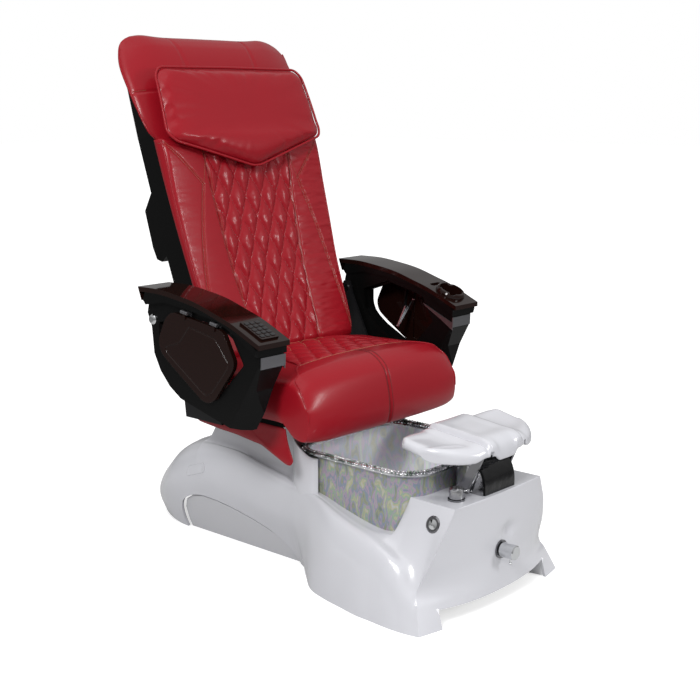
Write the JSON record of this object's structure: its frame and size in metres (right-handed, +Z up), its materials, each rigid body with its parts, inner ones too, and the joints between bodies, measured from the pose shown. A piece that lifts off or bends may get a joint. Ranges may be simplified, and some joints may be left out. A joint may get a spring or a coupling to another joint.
{
  "type": "pedicure spa chair",
  "caption": "Pedicure spa chair with a moulded base and foot basin, a sliding seat, a reclining massage back, lift-up arms with fold-out trays and a flip-up foot rest.",
  "frame": {"origin": "centre of the whole chair's footprint on the floor, at floor height", "axes": "+Z up, -Y towards the sitter's feet (the front), +X towards the sitter's left"},
  "size_m": [0.921, 1.3353, 1.465],
  "materials": {
    "shell_white": "polished gel coat",
    "pearl": "iridescent, polished",
    "chrome": "polished",
    "black_gloss": "polished",
    "satin_black": "satin",
    "lacquer": "high-gloss lacquer",
    "silver_trim": "satin metallic",
    "leather": "semi-gloss",
    "frame_paint": "satin",
    "steel": "brushed",
    "motor_black": "satin",
    "rubber": "matt",
    "grey_plastic": "matt"
  },
  "bodies": {
    "base": {"base_shell": "shell_white", "side_panel_right": "shell_white", "side_panel_left": "shell_white", "tub": "pearl", "tub_drain": "chrome", "tub_cradle": "frame_paint", "jet_housing": "grey_plastic", "jet_motor": "motor_black", "spout_body": "chrome", "spout_cover": "black_gloss", "mixer_flange": "chrome", "button_bezel": "chrome", "valve_flange": "chrome", "footrest_bracket": "chrome", "pump_motor": "motor_black", "power_inlet": "satin_black", "seat_rails": "steel", "slide_barrel": "motor_black"},
    "impeller": {"jet_impeller": "grey_plastic"},
    "knob": {"mixer_knob": "chrome"},
    "button": {"air_button": "chrome"},
    "handle": {"valve_handle": "chrome"},
    "footrest": {"footrest_pad": "shell_white"},
    "seat": {"slide_rod": "steel", "seat_carriage": "frame_paint", "seat_pan": "satin_black", "seat_cushion": "leather", "seat_skirt_right": "leather", "seat_skirt_left": "leather", "recline_motor": "motor_black"},
    "back": {"back_frame": "frame_paint", "back_shell": "satin_black", "back_band": "satin_black", "back_cushion": "leather", "head_cushion": "leather", "pillow": "leather", "massage_rails": "steel"},
    "massager": {"massage_carriage": "grey_plastic"},
    "rollers": {"massage_rollers": "rubber"},
    "arm_r": {"arm_body_right": "satin_black", "arm_cap_right": "lacquer", "arm_accent_right": "silver_trim", "arm_pivot_right": "chrome", "tray_hinge_right": "chrome", "remote_body": "lacquer"},
    "arm_l": {"arm_body_left": "satin_black", "arm_cap_left": "lacquer", "arm_accent_left": "silver_trim", "arm_pivot_left": "chrome", "tray_hinge_left": "chrome", "cup_holder": "lacquer"},
    "tray_r": {"tray_right": "lacquer"},
    "tray_l": {"tray_left": "lacquer"},
    "upper_r": {"stay_upper_right": "steel"},
    "upper_l": {"stay_upper_left": "steel"},
    "lower_r": {"stay_lower_right": "steel"},
    "lower_l": {"stay_lower_left": "steel"},
    "keys": {"remote_keys": "grey_plastic"}
  },
  "joints": [
    {"name": "jet_spin", "type": "hinge", "parent": "base", "child": "impeller", "pos_m": [0, -0.1, 0.206], "axis": [0, -1, 0], "continuous": true},
    {"name": "mixer_turn", "type": "hinge", "parent": "base", "child": "knob", "pos_m": [-0.125, -0.568, 0.31], "axis": [0, 0, 1], "range_deg": [-45, 45]},
    {"name": "air_press", "type": "slide", "parent": "base", "child": "button", "axis": [0.9397, 0, -0.342], "range_m": [0, 0.004], "stiffness_N_per_m": 500},
    {"name": "valve_turn", "type": "hinge", "parent": "base", "child": "handle", "pos_m": [0.004, -0.64, 0.147], "axis": [0, -1, 0], "range_deg": [-90, 90]},
    {"name": "footrest_flip", "type": "hinge", "parent": "base", "child": "footrest", "pos_m": [0, -0.6, 0.414], "axis": [1, 0, 0], "range_deg": [0, 90]},
    {"name": "seat_slide", "type": "slide", "parent": "base", "child": "seat", "axis": [0, -1, 0], "range_m": [-0.05, 0.05]},
    {"name": "back_recline", "type": "hinge", "parent": "seat", "child": "back", "pos_m": [0, 0.206, 0.56], "axis": [-1, 0, 0], "range_deg": [0, 35]},
    {"name": "massage_travel", "type": "slide", "parent": "back", "child": "massager", "axis": [0, 0.3047, 0.9524], "range_m": [-0.2, 0.23]},
    {"name": "roller_spin", "type": "hinge", "parent": "massager", "child": "rollers", "pos_m": [0, 0.2996, 0.8975], "axis": [1, 0, 0], "continuous": true},
    {"name": "arm_lift_right", "type": "hinge", "parent": "seat", "child": "arm_r", "pos_m": [-0.38, 0.214, 0.712], "axis": [-1, 0, 0], "range_deg": [0, 75]},
    {"name": "tray_fold_right", "type": "hinge", "parent": "arm_r", "child": "tray_r", "pos_m": [-0.456, 0.0125, 0.739], "axis": [0, 0.988, 0.1547], "range_deg": [0, 90]},
    {"name": "stay_lower_right", "type": "hinge", "parent": "arm_r", "child": "lower_r", "pos_m": [-0.40191, 0.02915, 0.66177], "axis": [0, 0.988, 0.1547], "range_deg": [0, 90]},
    {"name": "stay_upper_right", "type": "hinge", "parent": "tray_r", "child": "upper_r", "pos_m": [-0.431, 0.02144, 0.68193], "axis": [0, 0.988, 0.1547], "range_deg": [-90, 0]},
    {"name": "arm_lift_left", "type": "hinge", "parent": "seat", "child": "arm_l", "pos_m": [0.38, 0.214, 0.712], "axis": [-1, 0, 0], "range_deg": [0, 75]},
    {"name": "tray_fold_left", "type": "hinge", "parent": "arm_l", "child": "tray_l", "pos_m": [0.456, 0.0125, 0.739], "axis": [0, -0.988, -0.1547], "range_deg": [0, 90]},
    {"name": "stay_lower_left", "type": "hinge", "parent": "arm_l", "child": "lower_l", "pos_m": [0.40191, 0.02915, 0.66177], "axis": [0, -0.988, -0.1547], "range_deg": [0, 90]},
    {"name": "stay_upper_left", "type": "hinge", "parent": "tray_l", "child": "upper_l", "pos_m": [0.431, 0.02144, 0.68193], "axis": [0, -0.988, -0.1547], "range_deg": [-90, 0]},
    {"name": "keys_press", "type": "slide", "parent": "arm_r", "child": "keys", "axis": [0, 0.4025, -0.9154], "range_m": [0, 0.0015], "stiffness_N_per_m": 800}
  ],
  "couplings": [
    {"joint": "stay_lower_right", "follows": "tray_fold_right", "ratio": 1},
    {"joint": "stay_upper_right", "follows": "tray_fold_right", "ratio": -1},
    {"joint": "stay_lower_left", "follows": "tray_fold_left", "ratio": 1},
    {"joint": "stay_upper_left", "follows": "tray_fold_left", "ratio": -1}
  ]
}
